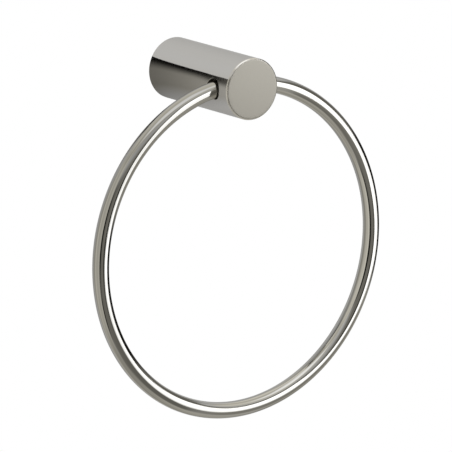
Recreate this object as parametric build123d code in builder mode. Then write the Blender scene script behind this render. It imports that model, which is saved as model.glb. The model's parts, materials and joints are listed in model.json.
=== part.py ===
"""Towel ring: a closed ring of round bar that swings in the cross bore of a turned wall post.

Millimetres. The wall is the plane Y = 0 and the post stands out of it along -Y, with +Z up.
The origin is the centre of the post's wall end.
"""

import os
from math import sqrt

from build123d import *

# Post, turned from round bar
post_diameter = 30
post_length = 65
post_wall = 3
front_chamfer = 0.6
wall_chamfer = 0.3

# Ring, bent from round bar
bar_diameter = 8
ring_inside_diameter = 152

# Cross bore in which the ring swings
bore_setback = 12
swing_clearance = 0.4
mouth_chamfer = 0.4

# Fixing boss inside the post
boss_length = 12
boss_chamfer = 1
socket_clearance = 0.1
socket_chamfer = 0.4
head_room = 3

# Wall screws, one each side of the boss's axis
screw_hole_diameter = 4.5
screw_head_diameter = 8.6
screw_head_angle = 90
screw_head_margin = 1.1

# Set screw that draws the post on to the wall
grub_diameter = 4
grub_tip_diameter = 0.6
grub_chamfer = 0.3
grub_sunk = 0.4
grub_key = 2
grub_key_depth = 1.5
thread_clearance = 0.05
groove_inset = 5
groove_depth = 2
draw_offset = 0.3
seat_clearance = 0.05

# Worked out from the sizes above
post_radius = post_diameter / 2
bar_radius = bar_diameter / 2
ring_radius = ring_inside_diameter / 2 + bar_radius
grub_radius = grub_diameter / 2
grub_tip_radius = grub_tip_diameter / 2

# The bar is an arc inside the straight bore, so half of its rise lies on each side of the bore's axis
arc_rise = ring_radius - sqrt(ring_radius**2 - post_radius**2)
bore_radius = bar_radius + arc_rise / 2 + swing_clearance
bore_y = bore_setback - post_length
ring_centre = Vector(0, bore_y, arc_rise / 2 - ring_radius)

socket_radius = post_radius - post_wall
socket_depth = boss_length + head_room
boss_radius = socket_radius - socket_clearance
boss_face_radius = boss_radius - boss_chamfer
screw_spacing = 2 * (boss_face_radius - screw_head_margin) - screw_head_diameter

# The cone point leans on the outer flank of the groove: both slope at 45 degrees
groove_root = boss_radius - groove_depth
groove_setback = boss_length - groove_inset
grub_y = -groove_setback - draw_offset
cone_apex = groove_root + draw_offset + seat_clearance * sqrt(2)
grub_tip = cone_apex + grub_tip_radius
grub_head = post_radius - grub_sunk
cone_base = cone_apex + grub_radius

os.makedirs("parts", exist_ok=True)

# Half section of everything turned about the post's axis: radius across, distance from the wall upwards.
# It stands in the upright plane X = 0, so that no seam of the turned faces runs into a mouth of the cross bore.
turning_plane = Plane(origin=(0, 0, 0), x_dir=(0, 0, 1), z_dir=(1, 0, 0))
front_plane = Plane(origin=(0, -boss_length, 0), x_dir=(1, 0, 0), z_dir=(0, -1, 0))
bore_plane = Plane(origin=(0, bore_y, 0), x_dir=(0, 1, 0), z_dir=(1, 0, 0))
grub_plane = Plane(origin=(0, grub_y, 0), x_dir=(1, 0, 0), z_dir=(0, 0, -1))

# Post
with BuildPart() as post:
    with BuildSketch(turning_plane):
        with BuildLine():
            Polyline(
                (0, socket_depth),
                (socket_radius, socket_depth),
                (socket_radius, socket_chamfer),
                (socket_radius + socket_chamfer, 0),
                (post_radius - wall_chamfer, 0),
                (post_radius, wall_chamfer),
                (post_radius, post_length - front_chamfer),
                (post_radius - front_chamfer, post_length),
                (0, post_length),
                close=True,
            )
        make_face()
    revolve(axis=Axis.Y)
    with BuildSketch(bore_plane):
        Circle(bore_radius)
    extrude(amount=post_diameter, both=True, mode=Mode.SUBTRACT)
    mouths = post.edges(Select.LAST).filter_by(GeomType.BSPLINE)
    chamfer(mouths, length=mouth_chamfer)
    with BuildSketch(grub_plane):
        Circle(grub_radius + thread_clearance)
    extrude(amount=post_diameter, mode=Mode.SUBTRACT)
post.part.label = "post"
export_step(post.part, "parts/post.step")

# Ring
ring_section = Plane(origin=ring_centre, x_dir=(1, 0, 0), z_dir=(0, 0, 1))
with BuildPart() as ring:
    with BuildSketch(ring_section):
        with Locations((ring_radius, 0)):
            Circle(bar_radius)
    revolve(axis=Axis(ring_centre, (0, 1, 0)))
ring.part.label = "ring"
export_step(ring.part, "parts/ring.step")

# Fixing boss
with BuildPart() as wall_boss:
    with BuildSketch(turning_plane):
        with BuildLine():
            Polyline(
                (0, 0),
                (boss_radius, 0),
                (boss_radius, groove_setback - groove_depth),
                (groove_root, groove_setback),
                (boss_radius, groove_setback + groove_depth),
                (boss_radius, boss_length - boss_chamfer),
                (boss_face_radius, boss_length),
                (0, boss_length),
                close=True,
            )
        make_face()
    revolve(axis=Axis.Y)
    with Locations(front_plane):
        with GridLocations(screw_spacing, 0, 2, 1):
            CounterSinkHole(
                radius=screw_hole_diameter / 2,
                counter_sink_radius=screw_head_diameter / 2,
                counter_sink_angle=screw_head_angle,
            )
wall_boss.part.label = "wall_boss"
export_step(wall_boss.part, "parts/wall_boss.step")

# Set screw, pointing up into the groove
with BuildPart() as grub_screw:
    with BuildSketch(Plane(origin=(0, grub_y, 0), x_dir=(1, 0, 0), z_dir=(0, 1, 0))):
        with BuildLine():
            Polyline(
                (0, grub_tip),
                (grub_tip_radius, grub_tip),
                (grub_radius, cone_base),
                (grub_radius, grub_head - grub_chamfer),
                (grub_radius - grub_chamfer, grub_head),
                (0, grub_head),
                close=True,
            )
        make_face()
    revolve(axis=Axis((0, grub_y, 0), (0, 0, 1)))
    with BuildSketch(grub_plane.offset(grub_head)):
        RegularPolygon(radius=grub_key / 2, side_count=6, major_radius=False)
    extrude(amount=-grub_key_depth, mode=Mode.SUBTRACT)
grub_screw.part.label = "grub_screw"
export_step(grub_screw.part, "parts/grub_screw.step")
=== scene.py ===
"""Stainless towel ring: a closed ring of round bar that swings in the cross bore of a turned wall post.

Metres. The wall is the plane Y = 0, the post stands out of it along -Y, and +Z is up.
"""

import json
import math

import bmesh
import bpy
from bpy.props import FloatProperty, FloatVectorProperty, IntProperty, PointerProperty
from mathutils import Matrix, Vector


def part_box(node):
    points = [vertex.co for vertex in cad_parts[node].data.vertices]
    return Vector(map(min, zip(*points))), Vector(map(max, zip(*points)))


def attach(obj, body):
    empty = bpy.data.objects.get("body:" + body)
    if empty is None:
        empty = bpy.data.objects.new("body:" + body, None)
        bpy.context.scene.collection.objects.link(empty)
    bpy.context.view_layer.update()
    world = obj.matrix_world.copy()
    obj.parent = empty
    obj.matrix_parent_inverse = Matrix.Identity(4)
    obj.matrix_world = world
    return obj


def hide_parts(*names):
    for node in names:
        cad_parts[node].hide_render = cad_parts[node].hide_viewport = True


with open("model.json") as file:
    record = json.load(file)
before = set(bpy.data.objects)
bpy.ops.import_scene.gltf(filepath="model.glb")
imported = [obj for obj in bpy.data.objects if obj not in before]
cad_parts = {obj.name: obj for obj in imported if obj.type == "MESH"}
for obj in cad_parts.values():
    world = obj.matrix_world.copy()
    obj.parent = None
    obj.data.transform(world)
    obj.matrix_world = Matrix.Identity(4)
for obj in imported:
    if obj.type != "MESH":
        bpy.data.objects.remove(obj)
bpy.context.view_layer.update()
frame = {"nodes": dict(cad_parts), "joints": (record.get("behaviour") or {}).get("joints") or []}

bl_info = {
    "name": "Towel Ring",
    "version": (1, 0, 0),
    "blender": (4, 5, 0),
    "location": "3D View > Sidebar > Towel Ring",
    "description": "Makes a swinging towel ring, its wall post and its studio",
    "category": "Add Mesh",
}

MM = 0.001
FULL_TURN = 2 * math.pi
WHITE = (1.0, 1.0, 1.0, 1.0)

# The two colours that go into a Mix node, and the one that comes out, by their socket numbers
MIX_A, MIX_B, MIX_OUT = 6, 7, 2

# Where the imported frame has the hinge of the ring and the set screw
hinge = Vector(frame["joints"][0]["pos_m"])
screw_low, screw_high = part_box("grub_screw")
screw_y = (screw_low.y + screw_high.y) / 2


def linear_colour(hex_code):
    """sRGB hex code as linear red, green and blue."""
    shares = [int(hex_code[k : k + 2], 16) / 255 for k in (1, 3, 5)]
    return tuple(s / 12.92 if s <= 0.04045 else ((s + 0.055) / 1.055) ** 2.4 for s in shares)


def length(name, description, millimetres):
    """A size that a user would change, given in millimetres and kept in metres."""
    return FloatProperty(
        name=name,
        description=description,
        default=millimetres * MM,
        min=0,
        precision=5,
        unit="LENGTH",
        subtype="DISTANCE",
    )


def colour(name, description, hex_code):
    """A colour that a user would change."""
    return FloatVectorProperty(
        name=name,
        description=description,
        default=linear_colour(hex_code),
        min=0,
        max=1,
        size=3,
        subtype="COLOR",
    )


class RingSizes(bpy.types.PropertyGroup):
    """Sizes of the ring"""

    bar_diameter: length("Bar diameter", "Round bar that the ring is bent from", 8)
    bend_diameter: length("Bend diameter", "Ring across the middle of its bar", 160)
    sections: IntProperty(name="Sections", description="Sections along the ring", default=432, min=48)
    facets: IntProperty(name="Facets", description="Facets round the bar", default=56, min=12)


class PostSizes(bpy.types.PropertyGroup):
    """Sizes of the post"""

    diameter: length("Diameter", "Round bar that the post is turned from", 30)
    reach: length("Reach", "From the wall to the front face", 65)
    front_chamfer: length("Front chamfer", "Chamfer round the front face", 0.6)
    wall_chamfer: length("Wall chamfer", "Chamfer round the wall end", 0.3)
    crown: length("Crown", "How far the front face falls evenly from its middle to its rim", 0.3)
    roll: length("Roll", "How much further satining has rolled the last of that face over", 0.06)
    swing_clearance: length("Swing clearance", "Air between the bar and the cross bore", 0.4)
    mouth_chamfer: length("Mouth chamfer", "Chamfer round each mouth of the cross bore", 0.2)
    socket_diameter: length("Socket diameter", "Socket for the wall boss", 24)
    socket_depth: length("Socket depth", "Depth of that socket", 15)
    socket_chamfer: length("Socket chamfer", "Chamfer at the socket's mouth", 0.4)
    edge_break: length("Edge break", "Width to which polishing has worn the edges", 0.2)


class ScrewSizes(bpy.types.PropertyGroup):
    """Sizes of the set screw"""

    diameter: length("Diameter", "Outside of the thread", 4)
    pitch: length("Pitch", "From one turn of the thread to the next", 0.7)
    tip_diameter: length("Tip diameter", "Flat on the cone point", 0.6)
    chamfer: length("Chamfer", "Chamfer at the socket end", 0.3)
    key: length("Key", "Hexagon across its flats", 2)
    key_depth: length("Key depth", "Depth of the hexagon", 1.5)
    thread_clearance: length("Thread clearance", "Tapped hole over the thread, on the radius", 0.05)


class SteelColours(bpy.types.PropertyGroup):
    """Colours of the steel"""

    polished: colour("Polished", "Turned and polished side of the post", "#DFDDD9")
    satin: colour("Satin", "Satin front face of the post", "#A4A199")
    drawn: colour("Drawn", "Polished bar of the ring", "#C3C2BE")
    turned: colour("Turned", "As turned, inside the post and on the boss", "#B9B7B2")
    bright: colour("Bright", "Set screw", "#B2B2B0")


class TowelRing(bpy.types.PropertyGroup):
    """Everything that a user would change on the towel ring"""

    ring: PointerProperty(type=RingSizes, name="Ring", description="Sizes of the ring")
    post: PointerProperty(type=PostSizes, name="Post", description="Sizes of the post")
    screw: PointerProperty(type=ScrewSizes, name="Set screw", description="Sizes of the set screw")
    steel: PointerProperty(type=SteelColours, name="Steel", description="Colours of the steel")


def add_node(tree, kind, inputs=None, **settings):
    """Adds a node. Its inputs are values or other nodes' sockets, by name or number."""
    made = tree.nodes.new(kind)
    for name, value in settings.items():
        setattr(made, name, value)
    for key, value in (inputs or {}).items():
        if isinstance(value, bpy.types.NodeSocket):
            tree.links.new(value, made.inputs[key])
        else:
            made.inputs[key].default_value = value
    return made


def new_steel(name):
    """An empty material with its shader, the shader's tree and the piece's own coordinates."""
    steel = bpy.data.materials.new(name)
    steel.use_nodes = True
    tree = steel.node_tree
    tree.nodes.clear()
    # Steel mirrors less at a glancing angle than a plain mirror does
    glancing = (*linear_colour("#E6E5E3"), 1.0)
    shader = add_node(tree, "ShaderNodeBsdfPrincipled", {"Metallic": 1.0, "Specular Tint": glancing})
    add_node(tree, "ShaderNodeOutputMaterial", {"Surface": shader.outputs["BSDF"]})
    place = add_node(tree, "ShaderNodeTexCoord").outputs["Object"]
    return steel, tree, shader, place


def lay_pattern(tree, shader, pattern, tint, spread, gloss, groove=0.0):
    """Lets a pattern shade the colour by its spread, run the roughness between two values and cut the surface
    to the depth of a groove, in metres."""
    low = tuple(c * (1 - spread) for c in tint) + (1.0,)
    high = tuple(min(1.0, c * (1 + spread)) for c in tint) + (1.0,)
    shade = add_node(
        tree, "ShaderNodeMix", {"Factor": pattern, MIX_A: low, MIX_B: high}, data_type="RGBA"
    ).outputs[MIX_OUT]
    rough = add_node(
        tree, "ShaderNodeMapRange", {"Value": pattern, "To Min": gloss[0], "To Max": gloss[1]}
    ).outputs["Result"]
    tree.links.new(shade, shader.inputs["Base Color"])
    tree.links.new(rough, shader.inputs["Roughness"])
    if groove:
        bump = add_node(
            tree, "ShaderNodeBump", {"Strength": 1.0, "Distance": groove, "Height": pattern}
        ).outputs["Normal"]
        tree.links.new(bump, shader.inputs["Normal"])


def spots_per_metre(width):
    """Scale of a noise whose light and dark spots are each about that wide, in metres."""
    return 0.5 / width


def lines_about_axis(tree, place, line, run):
    """Tool lines round the post's axis: line is their width and run how far they go round before they fade,
    in metres on the post's side."""
    side_radius, axis_radius = 15 * MM, 0.01 * MM
    parts = add_node(tree, "ShaderNodeSeparateXYZ", {"Vector": place}).outputs
    flat = add_node(tree, "ShaderNodeCombineXYZ", {"X": parts["X"], "Y": parts["Z"]}).outputs[0]
    radius = add_node(tree, "ShaderNodeVectorMath", {0: flat}, operation="LENGTH").outputs["Value"]
    along = add_node(tree, "ShaderNodeMath", {0: radius, 1: parts["Y"]}, operation="SUBTRACT").outputs[0]
    fine = add_node(
        tree, "ShaderNodeMath", {0: along, 1: spots_per_metre(line)}, operation="MULTIPLY"
    ).outputs[0]
    # The radius never gets to 0 here, because the places round the axis are divided by it
    safe = add_node(tree, "ShaderNodeMath", {0: radius, 1: axis_radius}, operation="MAXIMUM").outputs[0]
    around = []
    for part in ("X", "Z"):
        share = add_node(tree, "ShaderNodeMath", {0: parts[part], 1: safe}, operation="DIVIDE").outputs[0]
        scaled = add_node(
            tree, "ShaderNodeMath", {0: share, 1: side_radius / run}, operation="MULTIPLY"
        )
        around.append(scaled.outputs[0])
    spot = add_node(tree, "ShaderNodeCombineXYZ", {"X": fine, "Y": around[0], "Z": around[1]}).outputs[0]
    return add_node(
        tree, "ShaderNodeTexNoise", {"Vector": spot, "Scale": 1.0, "Detail": 3.0, "Roughness": 0.6}
    ).outputs["Fac"]


def turned_steel(name, tint, line, run, gloss, groove, spread, drawn_out=0.0):
    """Steel from the lathe: groove is the depth of its tool lines in metres, drawn_out how far the lines pull
    what the steel mirrors out of shape across them, from 0 to 1."""
    steel, tree, shader, place = new_steel(name)
    if drawn_out:
        across_lines = 0.25
        around = add_node(tree, "ShaderNodeTangent", direction_type="RADIAL", axis="Y").outputs["Tangent"]
        tree.links.new(around, shader.inputs["Tangent"])
        shader.inputs["Anisotropic"].default_value = drawn_out
        shader.inputs["Anisotropic Rotation"].default_value = across_lines
    lines = lines_about_axis(tree, place, line, run)
    lay_pattern(tree, shader, lines, tint, spread, gloss, groove)
    return steel


def polished_steel(tint):
    """Stainless steel, turned and buffed: a mirror whose image is drawn out along the post by fine lines that
    run round it. The lines are 0.3 mm wide, coarser than buffing leaves them, so that they show."""
    return turned_steel(
        "stainless_turned_polished",
        tint,
        line=0.3 * MM,
        run=20 * MM,
        gloss=(0.1, 0.14),
        groove=0.0006 * MM,
        spread=0.02,
        drawn_out=0.95,
    )


def satin_steel(tint):
    """Stainless steel, faced and then satined with abrasive: an even, soft grey with faint rings."""
    return turned_steel(
        "stainless_faced_satin",
        tint,
        line=1.2 * MM,
        run=12 * MM,
        gloss=(0.42, 0.46),
        groove=0.00001 * MM,
        spread=0.03,
    )


def lathe_steel(tint):
    """Stainless steel as it leaves the lathe: rings that catch the light. They are 0.5 mm wide, coarser than
    the 0.15 mm feed that a lathe leaves, so that they show."""
    return turned_steel(
        "stainless_as_turned",
        tint,
        line=0.5 * MM,
        run=60 * MM,
        gloss=(0.22, 0.36),
        groove=0.003 * MM,
        spread=0.1,
        drawn_out=0.8,
    )


def drawn_steel(tint, bend_radius, centre):
    """Stainless steel bar, drawn and polished along its length: a mirror with fine lines that follow the bar.
    The lines are 0.6 mm wide, coarser than polishing leaves them, so that they show."""
    line, run = 0.6 * MM, 90 * MM
    darkest, lightest = 0.42, 0.58
    steel, tree, shader, place = new_steel("stainless_bar_drawn_polished")
    from_centre = add_node(
        tree, "ShaderNodeVectorMath", {0: place, 1: centre}, operation="SUBTRACT"
    ).outputs["Vector"]
    parts = add_node(tree, "ShaderNodeSeparateXYZ", {"Vector": from_centre}).outputs
    flat = add_node(tree, "ShaderNodeCombineXYZ", {"X": parts["X"], "Y": parts["Z"]}).outputs[0]
    radius = add_node(tree, "ShaderNodeVectorMath", {0: flat}, operation="LENGTH").outputs["Value"]
    outwards = add_node(tree, "ShaderNodeMath", {0: radius, 1: bend_radius}, operation="SUBTRACT").outputs[0]
    scaled = []
    for part, size in ((outwards, line), (parts["Y"], line), (parts["X"], run), (parts["Z"], run)):
        fine = add_node(tree, "ShaderNodeMath", {0: part, 1: spots_per_metre(size)}, operation="MULTIPLY")
        scaled.append(fine.outputs[0])
    spot = add_node(tree, "ShaderNodeCombineXYZ", {"X": scaled[0], "Y": scaled[1], "Z": scaled[2]}).outputs[0]
    lines = add_node(
        tree,
        "ShaderNodeTexNoise",
        {"Vector": spot, "W": scaled[3], "Scale": 1.0, "Detail": 3.0, "Roughness": 0.6},
        noise_dimensions="4D",
    ).outputs["Fac"]
    lines = add_node(
        tree, "ShaderNodeMapRange", {"Value": lines, "From Min": darkest, "From Max": lightest}
    ).outputs["Result"]
    lay_pattern(tree, shader, lines, tint, spread=0.2, gloss=(0.03, 0.06), groove=0.015 * MM)
    return steel


def screw_steel(tint):
    """Stainless set screw, rolled and bright: small even gloss with a little grain."""
    grain_width = 0.2 * MM
    steel, tree, shader, place = new_steel("stainless_rolled_bright")
    grain = add_node(
        tree, "ShaderNodeTexNoise", {"Vector": place, "Scale": spots_per_metre(grain_width), "Detail": 2.0}
    ).outputs["Fac"]
    lay_pattern(tree, shader, grain, tint, spread=0.06, gloss=(0.16, 0.28))
    return steel


class Shell:
    """Points and faces of one closed shell, with the edges that polishing breaks."""

    sharp_angle = math.radians(35)
    break_facets = 3

    def __init__(self):
        self.points, self.faces, self.finishes, self.broken = [], [], [], []

    def loop(self, points):
        """Adds a loop of points and returns their numbers."""
        start = len(self.points)
        self.points.extend(points)
        return list(range(start, len(self.points)))

    def bridge(self, first, second, finish=0):
        """Adds the faces between two loops. finish is the number of their steel."""
        count = len(first)
        for k in range(count):
            n = (k + 1) % count
            self.faces.append((first[k], first[n], second[n], second[k]))
            self.finishes.append(finish)

    def run(self, loops, finish=0):
        """Bridges each loop to the next."""
        for first, second in zip(loops, loops[1:]):
            self.bridge(first, second, finish)

    def cap(self, loop, finish=0):
        """Closes a loop with one face."""
        self.faces.append(tuple(loop))
        self.finishes.append(finish)

    def break_edge(self, loop):
        """Marks a loop as an edge that polishing breaks."""
        self.broken.extend(zip(loop, loop[1:] + loop[:1]))

    def piece(self, name, steels, edge_break=0):
        """The finished object, its faces turned outwards and its marked edges broken."""
        mesh = bpy.data.meshes.new(name)
        mesh.from_pydata(self.points, [], self.faces)
        mesh.polygons.foreach_set("material_index", self.finishes)
        work = bmesh.new()
        work.from_mesh(mesh)
        bmesh.ops.recalc_face_normals(work, faces=work.faces)
        if work.calc_volume() < 0:
            bmesh.ops.reverse_faces(work, faces=work.faces)
        if any(not e.is_manifold for e in work.edges):
            raise RuntimeError(f"{name} isn't a closed shell")
        weight = work.edges.layers.float.new("bevel_weight_edge")
        work.verts.ensure_lookup_table()
        for a, b in self.broken:
            work.edges.get((work.verts[a], work.verts[b]))[weight] = 1
        work.to_mesh(mesh)
        work.free()
        mesh.shade_smooth()
        mesh.set_sharp_from_angle(angle=self.sharp_angle)
        for steel in steels:
            mesh.materials.append(steel)
        made = bpy.data.objects.new(name, mesh)
        bpy.context.scene.collection.objects.link(made)
        if edge_break:
            bevel = made.modifiers.new("edge_break", "BEVEL")
            bevel.limit_method = "WEIGHT"
            bevel.width = edge_break
            bevel.segments = self.break_facets
            bevel.harden_normals = True
            settle(made)
        return made


def settle(made):
    """Turns what the piece's modifiers make into its own plain mesh."""
    ready = made.evaluated_get(bpy.context.evaluated_depsgraph_get())
    mesh = bpy.data.meshes.new_from_object(ready)
    made.modifiers.clear()
    made.data = mesh
    mesh.name = made.name


def spaced(stretches):
    """Stations along stretches of (start, end, steps)."""
    stations = [stretches[0][0]]
    for start, end, steps in stretches:
        stations.extend(start + (end - start) * k / steps for k in range(1, steps + 1))
    return stations


def turns_round(count):
    """Angles of that many points round a circle."""
    return [FULL_TURN * k / count for k in range(count)]


def turned_loop(radius, y, around):
    """A circle of points about the post's axis."""
    return [(radius * math.cos(t), y, radius * math.sin(t)) for t in turns_round(around)]


def arc_rise(sizes):
    """How far the bar's arc rises inside the post."""
    bend_radius, post_radius = sizes.ring.bend_diameter / 2, sizes.post.diameter / 2
    return bend_radius - math.sqrt(bend_radius**2 - post_radius**2)


class Hole:
    """A round hole square to the post's axis: its direction, place along the axis and radius.
    It has a point for each point on the border of its window, counted from a corner."""

    first_corner = math.radians(135)

    def __init__(self, turn, y, radius, cells):
        self.turn, self.y, self.radius, self.cells = turn, y, radius, cells
        self.count = 8 * cells
        self.angles = [self.first_corner - t for t in turns_round(self.count)]

    def wall(self, wall_radius, angle):
        """How far out a cylinder about the post's axis lies, at a point of the hole's circle."""
        return math.sqrt(wall_radius**2 - (self.radius * math.cos(angle)) ** 2)

    def point(self, out, radius, angle):
        """A point so far out from the post's axis, on a circle of that radius about the hole's own axis."""
        side, along = radius * math.cos(angle), radius * math.sin(angle)
        c, s = math.cos(self.turn), math.sin(self.turn)
        return (out * c - side * s, self.y + along, out * s + side * c)


def pierced_wall(shell, radius, stations, around, holes, finish, rings=4):
    """A cylinder about the post's axis with round holes, each in a square window of its grid.
    The holes are given as (hole, rim radius at each angle).
    Returns the first and last loop and each hole's rim."""
    cell = FULL_TURN / around
    windows = []
    for hole, _ in holes:
        middle = round(hole.turn / cell)
        row = min(range(len(stations)), key=lambda j: abs(stations[j] - hole.y))
        windows.append((middle - hole.cells, row - hole.cells, 2 * hole.cells))

    def within(i, j, first):
        """Whether a window has the grid's face (first 0) or its point (first 1) inside it."""
        return any(
            first <= (i - i0) % around < size and first <= j - j0 < size for i0, j0, size in windows
        )

    grid = {}
    for j, y in enumerate(stations):
        for i, point in enumerate(turned_loop(radius, y, around)):
            if not within(i, j, 1):
                grid[i, j] = shell.loop([point])[0]
    for j in range(len(stations) - 1):
        for i in range(around):
            if not within(i, j, 0):
                n = (i + 1) % around
                shell.faces.append((grid[i, j], grid[n, j], grid[n, j + 1], grid[i, j + 1]))
                shell.finishes.append(finish)
    rims = []
    for (hole, rim), (i0, j0, size) in zip(holes, windows):
        side = range(size)
        border = [(i0 + k, j0) for k in side] + [(i0 + size, j0 + k) for k in side]
        border += [(i0 + size - k, j0 + size) for k in side] + [(i0, j0 + size - k) for k in side]
        loops = [[grid[i % around, j] for i, j in border]]
        for ring in range(1, rings + 1):
            share = ring / rings
            points = []
            for (i, j), angle, edge in zip(border, hole.angles, rim):
                across = radius * (i * cell - hole.turn)
                along = stations[j] - hole.y
                rim_across = radius * math.asin(edge * math.cos(angle) / radius)
                rim_along = edge * math.sin(angle)
                turn = hole.turn + (across + (rim_across - across) * share) / radius
                y = hole.y + along + (rim_along - along) * share
                points.append((radius * math.cos(turn), y, radius * math.sin(turn)))
            loops.append(shell.loop(points))
        shell.run(loops, finish)
        rims.append(loops[-1])
    last = len(stations) - 1
    first_loop, last_loop = ([grid[i, j] for i in range(around)] for j in (0, last))
    return first_loop, last_loop, rims


def thread_depth(turns, full):
    """Depth below the crest of a 60 degree thread, for a place in turns of the thread.
    full is its whole depth."""
    crest, flank = 1 / 8, 5 / 8
    place = abs((turns % 1) - 0.5) * 2
    return full * min(1, max(0, (place - crest) / flank))


class TOWELRING_OT_ring(bpy.types.Operator):
    """Bends the ring from round bar"""

    bl_idname = "towel_ring.ring"
    bl_label = "Ring"
    bl_options = {"REGISTER", "UNDO"}

    def execute(self, context):
        sizes = context.scene.towel_ring
        bend_radius = sizes.ring.bend_diameter / 2
        centre = hinge + Vector((0, 0, arc_rise(sizes) / 2 - bend_radius))
        steel = drawn_steel(sizes.steel.drawn, bend_radius, centre)

        tree = bpy.data.node_groups.new("bent_bar", "GeometryNodeTree")
        tree.is_modifier = True
        sockets = {}
        for name, kind, value in (
            ("Bend radius", "NodeSocketFloat", bend_radius),
            ("Bar radius", "NodeSocketFloat", sizes.ring.bar_diameter / 2),
            ("Centre", "NodeSocketVector", centre),
            ("Sections", "NodeSocketInt", sizes.ring.sections),
            ("Facets", "NodeSocketInt", sizes.ring.facets),
            ("Steel", "NodeSocketMaterial", steel),
        ):
            socket = tree.interface.new_socket(name, in_out="INPUT", socket_type=kind)
            sockets[socket.identifier] = value
        tree.interface.new_socket("Geometry", in_out="OUTPUT", socket_type="NodeSocketGeometry")
        given = add_node(tree, "NodeGroupInput").outputs
        path = add_node(
            tree,
            "GeometryNodeCurvePrimitiveCircle",
            {"Resolution": given["Sections"], "Radius": given["Bend radius"]},
        )
        bar = add_node(
            tree,
            "GeometryNodeCurvePrimitiveCircle",
            {"Resolution": given["Facets"], "Radius": given["Bar radius"]},
        )
        swept = add_node(
            tree,
            "GeometryNodeCurveToMesh",
            {"Curve": path.outputs["Curve"], "Profile Curve": bar.outputs["Curve"]},
        )
        upright = (math.pi / 2, 0, 0)
        placed = add_node(
            tree,
            "GeometryNodeTransform",
            {"Geometry": swept.outputs["Mesh"], "Translation": given["Centre"], "Rotation": upright},
        )
        smooth = add_node(tree, "GeometryNodeSetShadeSmooth", {"Geometry": placed.outputs["Geometry"]})
        real = add_node(tree, "GeometryNodeRealizeInstances", {"Geometry": smooth.outputs["Geometry"]})
        dressed = add_node(
            tree,
            "GeometryNodeSetMaterial",
            {"Geometry": real.outputs["Geometry"], "Material": given["Steel"]},
        )
        add_node(tree, "NodeGroupOutput", {"Geometry": dressed.outputs["Geometry"]})

        ring = bpy.data.objects.new("bar_ring", bpy.data.meshes.new("bar_ring"))
        context.scene.collection.objects.link(ring)
        bend = ring.modifiers.new("bend", "NODES")
        bend.node_group = tree
        for identifier, value in sockets.items():
            bend[identifier] = value
        settle(ring)
        if not ring.data.polygons:
            raise RuntimeError("the ring came out empty")
        # A render setting: the photographed post shows no image of the bar, so the steel doesn't mirror it
        ring.visible_glossy = False
        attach(ring, "ring")
        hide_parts("ring")
        return {"FINISHED"}


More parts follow.
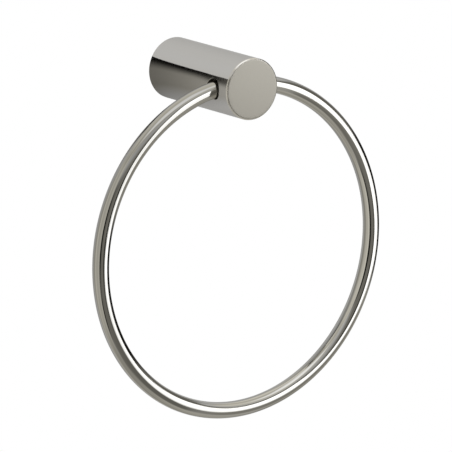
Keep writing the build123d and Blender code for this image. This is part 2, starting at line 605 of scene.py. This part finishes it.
class TOWELRING_OT_post(bpy.types.Operator):
    """Turns the post and bores it for the ring, the boss and the set screw"""

    bl_idname = "towel_ring.post"
    bl_label = "Post"
    bl_options = {"REGISTER", "UNDO"}

    # Points round the post, and cells of that width from the middle of a hole's window to its side
    around = 128
    bore_cells = 9
    tapped_cells = 5
    # Rows of faces from each end to a window and between the windows, on the outside and in the socket
    foot_rows, side_rows, front_rows = 3, 20, 4
    mouth_rows, floor_rows = 4, 5
    # Circles of the front face as shares of its radius, close together where it rolls over
    face_shares = (1, 0.98, 0.97, 0.96, 0.945, 0.93, 0.9, 0.85, 0.77, 0.65, 0.5, 0.35, 0.2, 0.08)
    roll_power = 40
    socket_shares = (0.6, 0.2)
    bore_steps = 12
    # The tapped thread: its depth as a share of its pitch, and where it starts, in turns. It fades in over
    # one part in eight at each end.
    thread_steps = 44
    thread_share, thread_start, thread_fade = 0.5, 0.5, 8

    def execute(self, context):
        sizes = context.scene.towel_ring
        post, screw = sizes.post, sizes.screw
        radius, socket = post.diameter / 2, post.socket_diameter / 2
        bore_radius = sizes.ring.bar_diameter / 2 + arc_rise(sizes) / 2 + post.swing_clearance
        tapped_radius = screw.diameter / 2 + screw.thread_clearance
        polished, satin, lathed = range(3)
        shell = Shell()

        right, left, down = 0, math.pi, 1.5 * math.pi
        mouths = [Hole(turn, hinge.y, bore_radius, self.bore_cells) for turn in (right, left)]
        tapped = Hole(down, screw_y, tapped_radius, self.tapped_cells)
        chamfered = []
        for mouth in mouths:
            lean = [math.sqrt(1 - (bore_radius * math.cos(a) / radius) ** 2) for a in mouth.angles]
            chamfered.append([bore_radius + post.mouth_chamfer * k for k in lean])
        plain = [tapped_radius] * tapped.count

        # The outside, from the wall to the front
        cell = FULL_TURN * radius / self.around
        bore_half, tapped_half = self.bore_cells * cell, self.tapped_cells * cell
        front = post.crown + post.roll + post.front_chamfer - post.reach
        stations = spaced(
            [
                (-post.wall_chamfer, screw_y + tapped_half, self.foot_rows),
                (screw_y + tapped_half, screw_y - tapped_half, 2 * self.tapped_cells),
                (screw_y - tapped_half, hinge.y + bore_half, self.side_rows),
                (hinge.y + bore_half, hinge.y - bore_half, 2 * self.bore_cells),
                (hinge.y - bore_half, front, self.front_rows),
            ]
        )
        holes = list(zip(mouths, chamfered)) + [(tapped, plain)]
        wall_end, front_end, rims = pierced_wall(shell, radius, stations, self.around, holes, polished)

        # The socket's side, from the wall inwards
        inner_half = self.tapped_cells * FULL_TURN * socket / self.around
        stations = spaced(
            [
                (-post.socket_chamfer, screw_y + inner_half, self.mouth_rows),
                (screw_y + inner_half, screw_y - inner_half, 2 * self.tapped_cells),
                (screw_y - inner_half, -post.socket_depth, self.floor_rows),
            ]
        )
        socket_mouth, socket_floor, inner_rims = pierced_wall(
            shell, socket, stations, self.around, [(tapped, plain)], lathed
        )

        def turned(at, y):
            return shell.loop(turned_loop(at, y, self.around))

        rim_radius = radius - post.front_chamfer
        face = []
        for share in self.face_shares:
            fall = post.crown * share**2 + post.roll * share**self.roll_power
            face.append(turned(share * rim_radius, fall - post.reach))
        rim = face[0]
        shell.bridge(front_end, rim, polished)
        shell.run(face, satin)
        shell.cap(face[-1], satin)

        foot = turned(radius - post.wall_chamfer, 0)
        lip = turned(socket + post.socket_chamfer, 0)
        shell.bridge(wall_end, foot, polished)
        shell.bridge(foot, lip, lathed)
        shell.bridge(lip, socket_mouth, lathed)
        floor = [turned(share * socket, -post.socket_depth) for share in self.socket_shares]
        shell.run([socket_floor] + floor, lathed)
        shell.cap(floor[-1], lathed)

        # The cross bore. The left mouth's points run the other way round, so they are put in the order of
        # the right one's
        throats = []
        for mouth, outer in zip(mouths, rims):
            depth = [mouth.wall(radius, a) - post.mouth_chamfer for a in mouth.angles]
            points = [mouth.point(d, bore_radius, a) for d, a in zip(depth, mouth.angles)]
            throats.append(shell.loop(points))
            shell.bridge(outer, throats[-1], lathed)
        count = mouths[0].count
        start = throats[0]
        end = [throats[1][(count // 4 - k) % count] for k in range(count)]
        bore = [start]
        for step in range(1, self.bore_steps):
            share = step / self.bore_steps
            points = [Vector(shell.points[s]).lerp(shell.points[e], share) for s, e in zip(start, end)]
            bore.append(shell.loop([tuple(p) for p in points]))
        shell.run(bore + [end], lathed)

        # The tapped hole, from the outside into the socket
        thread = [rims[2]]
        full = self.thread_share * screw.pitch
        for step in range(1, self.thread_steps):
            share = step / self.thread_steps
            fade = min(1, self.thread_fade * min(share, 1 - share))
            points = []
            for angle in tapped.angles:
                out = tapped.wall(radius, angle)
                out += (tapped.wall(socket, angle) - out) * share
                depth = thread_depth(out / screw.pitch + angle / FULL_TURN + self.thread_start, full)
                points.append(tapped.point(out, tapped_radius - (full - depth) * fade, angle))
            thread.append(shell.loop(points))
        shell.run(thread + [inner_rims[0]], lathed)

        for loop in (front_end, rim, wall_end, foot, lip, socket_mouth):
            shell.break_edge(loop)
        steels = [
            polished_steel(sizes.steel.polished),
            satin_steel(sizes.steel.satin),
            lathe_steel(sizes.steel.turned),
        ]
        made = shell.piece("turned_post", steels, post.edge_break)
        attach(made, "post")
        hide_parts("post")
        return {"FINISHED"}


class TOWELRING_OT_wall_boss(bpy.types.Operator):
    """Gives the wall boss its finish from the lathe"""

    bl_idname = "towel_ring.wall_boss"
    bl_label = "Wall boss"
    bl_options = {"REGISTER", "UNDO"}

    def execute(self, context):
        boss = frame["nodes"]["wall_boss"]
        boss.data.materials.clear()
        boss.data.materials.append(bpy.data.materials["stainless_as_turned"])
        return {"FINISHED"}


class TOWELRING_OT_set_screw(bpy.types.Operator):
    """Makes the set screw with its thread, cone point and hexagon"""

    bl_idname = "towel_ring.set_screw"
    bl_label = "Set screw"
    bl_options = {"REGISTER", "UNDO"}

    # Points round the screw, and steps along its cone, its side and its chamfer
    around = 72
    cone_steps, side_steps, chamfer_steps = 12, 40, 6
    # The rolled thread's depth as a share of its pitch
    thread_share = 0.6134
    # The hexagon's mouth: how much wider it is, and how deep as a share of the screw's length
    flare, flare_share = 1.12, 0.03
    # The drill's point at the bottom of the hexagon, as shares of the key: its depth and its end's radius
    drill_depth, drill_end = 0.25, 0.1

    def execute(self, context):
        sizes = context.scene.towel_ring
        screw = sizes.screw
        radius, tip = screw.diameter / 2, screw.tip_diameter / 2
        head, point = -screw_low.z, -screw_high.z
        cone = point + radius - tip
        neck = head - screw.chamfer
        full = self.thread_share * screw.pitch
        turns = turns_round(self.around)
        shell = Shell()

        def ring(out, radii):
            points = [
                (r * math.cos(t), screw_y + r * math.sin(t), -out) for r, t in zip(radii, turns)
            ]
            return shell.loop(points)

        def threaded(out, limit):
            radii = []
            for t in turns:
                depth = thread_depth(out / screw.pitch - t / FULL_TURN, full)
                radii.append(min(limit, radius - depth))
            return ring(out, radii)

        loops = [ring(point, [tip] * self.around)]
        for out in spaced([(point, cone, self.cone_steps)])[1:]:
            loops.append(threaded(out, tip + out - point))
        for out in spaced([(cone, neck, self.side_steps)])[1:]:
            loops.append(threaded(out, radius))
        for out in spaced([(neck, head, self.chamfer_steps)])[1:]:
            loops.append(threaded(out, radius - (out - neck)))
        side = FULL_TURN / 6
        flats = [(screw.key / 2) / math.cos(t % side - side / 2) for t in turns]
        bottom = head - screw.key_depth
        loops.append(ring(head, [self.flare * f for f in flats]))
        loops.append(ring(head + self.flare_share * (point - head), flats))
        loops.append(ring(bottom, flats))
        loops.append(ring(bottom - self.drill_depth * screw.key, [self.drill_end * screw.key] * self.around))
        shell.run(loops)
        shell.cap(loops[0])
        shell.cap(loops[-1])
        made = shell.piece("set_screw", [screw_steel(sizes.steel.bright)])
        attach(made, "post")
        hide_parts("grub_screw")
        return {"FINISHED"}


class TOWELRING_OT_stage(bpy.types.Operator):
    """Sets up the floor, the studio light and the camera"""

    bl_idname = "towel_ring.stage"
    bl_label = "Studio"
    bl_options = {"REGISTER", "UNDO"}

    # Each panel of the studio: azimuth from and to, elevation from and to, softness of its upright and its
    # level edges, colour, light level. Degrees; azimuth 0 is the room side and counts up to the right.
    neutral, warm = "#FFFFFF", "#FFFBEF"
    panels = (
        ("left wall", -142, -50, -70, 60, 10, 20, warm, 0.68),
        ("far left", -142, -118, -60, 40, 10, 20, warm, 0.46),
        ("floor", -250, 250, -120, -50, 20, 26, warm, 0.5),
        ("upper room", -250, 250, 44, 120, 10, 8, warm, 0.6),
        ("ceiling", 10, 120, 40, 120, 30, 16, warm, 0.82),
        ("zenith", -250, 250, 70, 120, 10, 12, warm, 0.8),
        ("ceiling behind", 104, 250, 46, 120, 24, 8, warm, 0.84),
        ("ceiling behind left", -250, -92, 52, 78, 24, 8, warm, 0.8),
        ("top light", -50, 58, 54, 84, 24, 12, neutral, 1.28),
        ("light edge", -74, -53, -44, 34, 6, 30, warm, 0.78),
        ("dark room", -53, 18, -44, 27, 3, 22, warm, 0.24),
        ("dark edge", -53, -36, -44, 22, 3, 26, warm, 0.02),
        ("black edge", 0, 19, -40, 12, 4, 20, warm, 0.06),
        ("front floor", -40, 34, -60, -17, 10, 20, warm, 0.23),
        ("right floor", 34, 128, -50, -18, 10, 14, warm, 0.4),
        ("right gap above", 66, 112, 0, 30, 6, 10, warm, 0.2),
        ("right gap", 66, 124, -20, 5, 4, 6, warm, 0.015),
        ("gap above", 10, 92, 22, 33, 6, 5, warm, 0.2),
        ("softbox", 18, 67, -17.5, 24, 3, 3, neutral, 2.0),
    )
    # Where the panels leave the white background behind the ring open, given as a panel's edges are
    opening = (136, 152, -21, -5, 5, 5)
    # Light level where there is no panel
    plain_level = 0.62

    # A card of painted shade stands round the post's foot: a sheet, black and then glowing, that only the
    # steel mirrors, so that the post shows a painted reflection of shade as its dark line. It is part of a
    # flat ring about the post's
    # axis: the degrees of its upper and its lower edge, its inside and outside radius, and how far the lower
    # and the outside edge fade
    card_upper, card_lower, card_lower_fade = 150.5, 345, 25
    card_inside, card_outside, card_outside_fade = 15.6 * MM, 80 * MM, 14 * MM
    card_y = 2 * MM
    card_facets = 48
    # Degrees past its upper edge between which it comes out of black, and how many more that takes further
    # out, past the second of two radii, which the front of the post mirrors
    card_black = (4, 27)
    card_front = (50 * MM, 60 * MM)
    card_front_lead = 8
    # Its light level at its inside and at a radius further out, and the power by which it grows between them
    card_near, card_far, card_far_radius, card_power = 0.16, 0.39, 65 * MM, 1.3
    # Degrees past its upper edge between which light is added, how much, and the most light that it gives
    card_below, card_below_light, card_most = (62, 160), 0.36, 0.5
    # Its colour, and how fast that pales at the front and below
    card_brown = "#FFFBF0"
    card_front_pale, card_below_pale = 0.5, 3

    floor_radius, floor_z, floor_points = 3.0, -1.2, 64

    # The camera: degrees to the right of the room side and up, what it looks at, how far off it is, its lens
    view_azimuth, view_elevation = -35.74, 13.03
    view_target, view_distance = (0.03103, 0, -0.08302), 2.8
    sensor_mm, lens_mm, view_depth = 36, 454.6, 20

    def execute(self, context):
        scene = context.scene
        scene.view_settings.view_transform = "Standard"
        self.world(scene)
        self.floor(scene)
        self.card(scene)
        self.camera(scene)
        return {"FINISHED"}

    def world(self, scene):
        """The studio as the steel mirrors it, on a white background."""
        world = bpy.data.worlds.new("studio")
        scene.world = world
        world.use_nodes = True
        tree = world.node_tree
        tree.nodes.clear()
        heading = add_node(tree, "ShaderNodeTexCoord").outputs["Generated"]
        parts = add_node(tree, "ShaderNodeSeparateXYZ", {"Vector": heading}).outputs
        away = add_node(tree, "ShaderNodeMath", {0: parts["Y"], 1: -1.0}, operation="MULTIPLY").outputs[0]
        across = add_node(tree, "ShaderNodeMath", {0: parts["X"], 1: away}, operation="ARCTAN2").outputs[0]
        azimuth = add_node(tree, "ShaderNodeMath", {0: across}, operation="DEGREES").outputs[0]
        up = add_node(tree, "ShaderNodeMath", {0: parts["Z"]}, operation="ARCSINE").outputs[0]
        elevation = add_node(tree, "ShaderNodeMath", {0: up}, operation="DEGREES").outputs[0]

        def within(left, right, low, high, side, flat):
            """1 inside a panel's edges, 0 outside. side and flat soften its upright and its level edges."""
            mask = 1.0
            for angle, outer, inner in (
                (azimuth, left - side / 2, left + side / 2),
                (azimuth, right + side / 2, right - side / 2),
                (elevation, low - flat / 2, low + flat / 2),
                (elevation, high + flat / 2, high - flat / 2),
            ):
                edge = add_node(
                    tree,
                    "ShaderNodeMapRange",
                    {"Value": angle, "From Min": outer, "From Max": inner},
                    interpolation_type="SMOOTHSTEP",
                ).outputs["Result"]
                mask = add_node(tree, "ShaderNodeMath", {0: mask, 1: edge}, operation="MULTIPLY").outputs[0]
            return mask

        level = (self.plain_level,) * 3 + (1.0,)
        for name, *edges, tint, strength in self.panels:
            light = tuple(strength * c for c in linear_colour(tint)) + (1.0,)
            level = add_node(
                tree,
                "ShaderNodeMix",
                {"Factor": within(*edges), MIX_A: level, MIX_B: light},
                data_type="RGBA",
                label=name,
            ).outputs[MIX_OUT]
        # The camera and glass see the white background everywhere, steel only where the panels leave it open
        path = add_node(tree, "ShaderNodeLightPath").outputs
        white = add_node(
            tree, "ShaderNodeMath", {0: path["Is Glossy Ray"], 1: within(*self.opening)}, operation="MULTIPLY"
        ).outputs[0]
        for ray in ("Is Camera Ray", "Is Transmission Ray"):
            white = add_node(tree, "ShaderNodeMath", {0: white, 1: path[ray]}, operation="MAXIMUM").outputs[0]
        level = add_node(
            tree, "ShaderNodeMix", {"Factor": white, MIX_A: level, MIX_B: WHITE}, data_type="RGBA"
        ).outputs[MIX_OUT]
        light = add_node(tree, "ShaderNodeBackground", {"Color": level, "Strength": 1.0})
        add_node(tree, "ShaderNodeOutputWorld", {"Surface": light.outputs["Background"]})

    def floor(self, scene):
        """A pale matt floor, white to the camera, as far below as a towel ring hangs."""
        mesh = bpy.data.meshes.new("floor")
        radius, turns = self.floor_radius, turns_round(self.floor_points)
        points = [(radius * math.cos(t), radius * math.sin(t), self.floor_z) for t in turns]
        mesh.from_pydata(points, [], [tuple(range(self.floor_points))])
        pale = bpy.data.materials.new("floor_pale_matt")
        pale.use_nodes = True
        pale.cycles.emission_sampling = "NONE"
        tree = pale.node_tree
        tree.nodes.clear()
        matt = add_node(tree, "ShaderNodeBsdfDiffuse", {"Color": (*linear_colour("#E4E3E0"), 1.0)}).outputs[0]
        white = add_node(tree, "ShaderNodeEmission", {"Strength": 1.0}).outputs[0]
        clear = add_node(tree, "ShaderNodeBsdfTransparent").outputs[0]
        seen = add_node(tree, "ShaderNodeLightPath").outputs["Is Camera Ray"]
        shown = add_node(tree, "ShaderNodeMixShader", {0: seen, 1: matt, 2: white}).outputs[0]
        under = add_node(tree, "ShaderNodeNewGeometry").outputs["Backfacing"]
        shown = add_node(tree, "ShaderNodeMixShader", {0: under, 1: shown, 2: clear}).outputs[0]
        add_node(tree, "ShaderNodeOutputMaterial", {"Surface": shown})
        mesh.materials.append(pale)
        floor = bpy.data.objects.new("floor", mesh)
        floor.visible_glossy = False
        scene.collection.objects.link(floor)

    def card(self, scene):
        """A card of painted shade that only steel sees, so that the post mirrors it as a painted reflection
        of shade.
        """
        upper, lower = self.card_upper, self.card_lower
        points = []
        for turn in spaced([(math.radians(upper), math.radians(lower), self.card_facets)]):
            for radius in (self.card_inside, self.card_outside):
                points.append((radius * math.cos(turn), self.card_y, radius * math.sin(turn)))
        mesh = bpy.data.meshes.new("painted_shade_card")
        facets = [(2 * k, 2 * k + 1, 2 * k + 3, 2 * k + 2) for k in range(self.card_facets)]
        mesh.from_pydata(points, [], facets)
        paper = bpy.data.materials.new("painted_shade_card")
        paper.use_nodes = True
        paper.cycles.emission_sampling = "NONE"
        tree = paper.node_tree
        tree.nodes.clear()
        place = add_node(tree, "ShaderNodeTexCoord").outputs["Object"]
        parts = add_node(tree, "ShaderNodeSeparateXYZ", {"Vector": place}).outputs
        turn = add_node(
            tree, "ShaderNodeMath", {0: parts["Z"], 1: parts["X"]}, operation="ARCTAN2"
        ).outputs[0]
        turn = add_node(tree, "ShaderNodeMath", {0: turn}, operation="DEGREES").outputs[0]
        past = add_node(tree, "ShaderNodeMath", {0: turn, 1: upper}, operation="SUBTRACT").outputs[0]
        past = add_node(tree, "ShaderNodeMath", {0: past, 1: 360.0, 2: 0.0}, operation="WRAP").outputs[0]
        flat = add_node(tree, "ShaderNodeCombineXYZ", {"X": parts["X"], "Y": parts["Z"]}).outputs[0]
        radius = add_node(tree, "ShaderNodeVectorMath", {0: flat}, operation="LENGTH").outputs["Value"]
        mask = 1.0
        for value, edge, fade in (
            (past, lower - upper, self.card_lower_fade),
            (radius, self.card_outside, self.card_outside_fade),
        ):
            share = add_node(
                tree,
                "ShaderNodeMapRange",
                {"Value": value, "From Min": edge, "From Max": edge - fade},
                interpolation_type="SMOOTHSTEP",
            ).outputs["Result"]
            mask = add_node(tree, "ShaderNodeMath", {0: mask, 1: share}, operation="MULTIPLY").outputs[0]
        clear = add_node(tree, "ShaderNodeBsdfTransparent").outputs[0]
        glow = add_node(tree, "ShaderNodeEmission", self.card_light(tree, past, radius)).outputs[0]
        shown = add_node(tree, "ShaderNodeMixShader", {0: mask, 1: clear, 2: glow}).outputs[0]
        add_node(tree, "ShaderNodeOutputMaterial", {"Surface": shown})
        mesh.materials.append(paper)
        card = bpy.data.objects.new("painted_shade_card", mesh)
        # Painted shade and glow: only the steel's reflections see this card, which puts the dark line along
        # the post
        card.visible_camera = False
        card.visible_diffuse = False
        card.visible_shadow = False
        scene.collection.objects.link(card)

    def card_light(self, tree, past, radius):
        """The card's colour and light level: black at its upper edge, painted shade that the post mirrors as
        its straight dark line, then a brownish painted glow, paler further down. past is in degrees past that
        edge."""
        near, far = self.card_front
        front = add_node(
            tree, "ShaderNodeMapRange", {"Value": radius, "From Min": near, "From Max": far}
        ).outputs["Result"]
        clear = add_node(
            tree, "ShaderNodeMath", {0: front, 1: -self.card_front_lead, 2: past}, operation="MULTIPLY_ADD"
        ).outputs[0]
        start, end = self.card_black
        lit = add_node(
            tree,
            "ShaderNodeMapRange",
            {"Value": clear, "From Min": start, "From Max": end},
            interpolation_type="SMOOTHSTEP",
        ).outputs["Result"]
        start, end = self.card_below
        below = add_node(
            tree, "ShaderNodeMapRange", {"Value": past, "From Min": start, "From Max": end}
        ).outputs["Result"]

        near, far = self.card_inside, self.card_far_radius
        reach = add_node(
            tree, "ShaderNodeMapRange", {"Value": radius, "From Min": near, "From Max": far}, clamp=False
        ).outputs["Result"]
        level = add_node(tree, "ShaderNodeMath", {0: reach, 1: self.card_power}, operation="POWER").outputs[0]
        near, far = self.card_near, self.card_far
        level = add_node(
            tree, "ShaderNodeMath", {0: level, 1: far - near, 2: near}, operation="MULTIPLY_ADD"
        ).outputs[0]
        level = add_node(
            tree, "ShaderNodeMath", {0: below, 1: self.card_below_light, 2: level}, operation="MULTIPLY_ADD"
        ).outputs[0]
        level = add_node(
            tree, "ShaderNodeMath", {0: level, 1: self.card_most}, operation="MINIMUM"
        ).outputs[0]
        level = add_node(tree, "ShaderNodeMath", {0: level, 1: lit}, operation="MULTIPLY").outputs[0]

        pale = add_node(
            tree, "ShaderNodeMath", {0: front, 1: self.card_front_pale}, operation="MULTIPLY"
        ).outputs[0]
        pale = add_node(
            tree, "ShaderNodeMath", {0: below, 1: self.card_below_pale, 2: pale}, operation="MULTIPLY_ADD"
        ).outputs[0]
        brown = (*linear_colour(self.card_brown), 1.0)
        tint = add_node(
            tree, "ShaderNodeMix", {"Factor": pale, MIX_A: brown, MIX_B: WHITE}, data_type="RGBA"
        ).outputs[MIX_OUT]
        return {"Color": tint, "Strength": level}

    def camera(self, scene):
        """The photograph's view: a long lens from the left, a little above the ring."""
        azimuth, elevation = math.radians(self.view_azimuth), math.radians(self.view_elevation)
        back = Vector(
            (
                math.sin(azimuth) * math.cos(elevation),
                -math.cos(azimuth) * math.cos(elevation),
                math.sin(elevation),
            )
        )
        lens = bpy.data.cameras.new("camera")
        lens.sensor_width = self.sensor_mm
        lens.lens = self.lens_mm
        lens.clip_end = self.view_depth
        camera = bpy.data.objects.new("camera", lens)
        camera.location = Vector(self.view_target) + back * self.view_distance
        camera.rotation_euler = back.to_track_quat("Z", "Y").to_euler()
        scene.collection.objects.link(camera)
        scene.camera = camera


operators = (
    TOWELRING_OT_ring,
    TOWELRING_OT_post,
    TOWELRING_OT_wall_boss,
    TOWELRING_OT_set_screw,
    TOWELRING_OT_stage,
)


class TOWELRING_PT_sidebar(bpy.types.Panel):
    """Lists the towel ring's sizes and the steps that make it"""

    bl_idname = "TOWELRING_PT_sidebar"
    bl_label = "Towel Ring"
    bl_space_type = "VIEW_3D"
    bl_region_type = "UI"
    bl_category = "Towel Ring"

    def draw(self, context):
        towel_ring = context.scene.towel_ring
        for part in ("ring", "post", "screw", "steel"):
            group = getattr(towel_ring, part)
            box = self.layout.box()
            for name in group.__annotations__:
                box.prop(group, name)
        for operator in operators:
            self.layout.operator(operator.bl_idname)


classes = (RingSizes, PostSizes, ScrewSizes, SteelColours, TowelRing, *operators, TOWELRING_PT_sidebar)


def register():
    for each in classes:
        bpy.utils.register_class(each)
    bpy.types.Scene.towel_ring = PointerProperty(type=TowelRing)


def unregister():
    del bpy.types.Scene.towel_ring
    for each in reversed(classes):
        bpy.utils.unregister_class(each)


def main():
    register()
    bpy.ops.towel_ring.ring()
    bpy.ops.towel_ring.post()
    bpy.ops.towel_ring.wall_boss()
    bpy.ops.towel_ring.set_screw()
    bpy.ops.towel_ring.stage()


if __name__ == "__main__":
    main()
